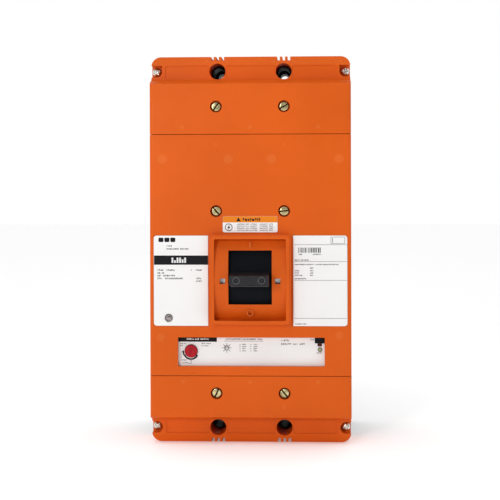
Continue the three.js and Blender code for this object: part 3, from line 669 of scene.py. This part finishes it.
def lathe(name, profile, centre, material, body, segments=48):
    """A solid of revolution about an axis along Y, from (radius, forward) pairs in millimetres."""
    mesh = bpy.data.meshes.new(name)
    work = bmesh.new()
    rings = []
    for radius, forward in profile:
        angles = [2 * math.pi * i / segments for i in range(segments)]
        reach = radius * MM
        y = -forward * MM
        rings.append([work.verts.new((reach * math.cos(a), y, reach * math.sin(a))) for a in angles])
    for near, far in zip(rings, rings[1:]):
        for i in range(segments):
            j = (i + 1) % segments
            work.faces.new((near[i], near[j], far[j], far[i]))
    bmesh.ops.recalc_face_normals(work, faces=work.faces)
    bmesh.ops.translate(work, verts=work.verts, vec=centre)
    for face in work.faces:
        face.smooth = True
    work.to_mesh(mesh)
    work.free()
    return new_piece(name, mesh, material, body)


def handle_rings():
    """Bright rims around the two sockets in the handle's nose."""
    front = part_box("toggle_handle")[0].y
    z = frame_joint("handle_pivot")["pos_m"][2]
    reach = 12.85 * MM
    profile = [(2.9, -0.4), (2.9, 0.1), (3.1, 0.35), (3.4, 0.35), (3.6, 0.1), (3.6, -0.4), (2.9, -0.4)]
    for name, x in (("handle_ring_left", -reach), ("handle_ring_right", reach)):
        lathe(name, profile, Vector((x, front, z)), PALE_RIM, "handle", 40)


def frame_joint(name):
    return next(joint for joint in frame["joints"] if joint["name"] == name)


def dress_handle():
    refine("toggle_handle", 0.0009, BLACK_HANDLE, segments=4)
    refine("handle_shroud", 0.0005, BLACK_SHROUD, segments=2, sharp_from=60)
    handle_rings()
    pivot = frame_joint("handle_pivot")["pos_m"]
    ledge_front = pivot[1] - 99 * MM
    low = pivot[2] / MM - 7.5
    # Painted highlight: a pale strip along the ledge under the bar, standing for the light line its edge catches.
    ledge_highlight_strip = [rectangle(-18.9, 18.9, low, low + 0.45)]
    print_on("ledge_painted_highlight", ledge_highlight_strip, ledge_front, PALE_RIM, body="handle")


def dress_fasteners():
    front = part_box("cover_screw_1")[0].y
    # Painted shade: the brass darkens with depth behind the screw heads' front, so the slots read shaded.
    painted_shade_by_depth(BRASS, front + 0.0006, front + 0.0013, (0.03, 0.022, 0.01))
    for index in range(1, 7):
        refine(f"cover_screw_{index}", 0.0003, BRASS, segments=2)
    for index in range(1, 5):
        refine(f"corner_screw_{index}", 0.0002, NICKEL, segments=2)


def dress_inner_pieces():
    """Gives every CAD node its slot's material. Those behind the covers keep their CAD shape."""
    for node, cad_piece in frame["nodes"].items():
        cad_piece.data.materials.clear()
        cad_piece.data.materials.append(SLOT_MATERIALS[NODE_SLOT[node]])


# ---- Studio ----
def area_light(name, place, target, size, power):
    data = bpy.data.lights.new(name, "AREA")
    data.shape = "RECTANGLE"
    data.size, data.size_y = size
    data.energy = power
    lamp = bpy.data.objects.new(name, data)
    bpy.context.scene.collection.objects.link(lamp)
    lamp.location = place
    lamp.rotation_euler = (Vector(target) - Vector(place)).to_track_quat("-Z", "Y").to_euler()


def add_studio():
    floor_mesh = bpy.data.meshes.new("floor")
    reach = 6.0
    clearance = 0.0004
    level = CASE_BOTTOM - clearance
    corners = [(x, y, level) for x, y in rectangle(-reach, reach, -reach, reach)]
    floor_mesh.from_pydata(corners, [], [(0, 1, 2, 3)])
    floor = bpy.data.objects.new("floor", floor_mesh)
    bpy.context.scene.collection.objects.link(floor)
    pale = new_material("pale_floor", (0.95, 0.95, 0.95), 0.9, Specular_IOR_Level=0.0)
    glow = pale.node_tree.nodes["Principled BSDF"]
    glow.inputs["Emission Color"].default_value = (1, 1, 1, 1)
    glow.inputs["Emission Strength"].default_value = 0.22
    floor_mesh.materials.append(pale)
    world = bpy.data.worlds.new("studio")
    world.use_nodes = True
    tree = world.node_tree
    place = tree.nodes.new("ShaderNodeTexCoord")
    split = tree.nodes.new("ShaderNodeSeparateXYZ")
    spread = tree.nodes.new("ShaderNodeMapRange")
    spread.interpolation_type = "SMOOTHSTEP"
    spread.inputs["From Min"].default_value = -1.0
    spread.inputs["From Max"].default_value = 0.3
    spread.inputs["To Min"].default_value = 0.26
    spread.inputs["To Max"].default_value = 1.0
    background = tree.nodes["Background"]
    background.inputs["Color"].default_value = (1, 1, 1, 1)
    tree.links.new(place.outputs["Generated"], split.inputs["Vector"])
    tree.links.new(split.outputs["Y"], spread.inputs["Value"])
    tree.links.new(spread.outputs["Result"], background.inputs["Strength"])
    bpy.context.scene.world = world
    bpy.context.scene.view_settings.view_transform = "Standard"
    area_light("key", (-0.75, -1.9, 0.42), (0, -0.1, 0.02), (0.35, 0.35), 9.8)
    area_light("fill", (1.1, -1.6, 0.5), (0, -0.1, 0), (1.0, 1.0), 1.0)
    area_light("top", (-0.2, -0.9, 1.5), (0, -0.1, 0), (0.8, 0.5), 5)


add_camera()
dress_inner_pieces()
dress_casings()
witness_marks()
position_marks()
dress_labels()
left_nameplate_print()
right_nameplate_print()
caution_print()
trip_label_print()
dress_controls()
dress_handle()
dress_fasteners()
add_studio()

bpy.context.view_layer.update()
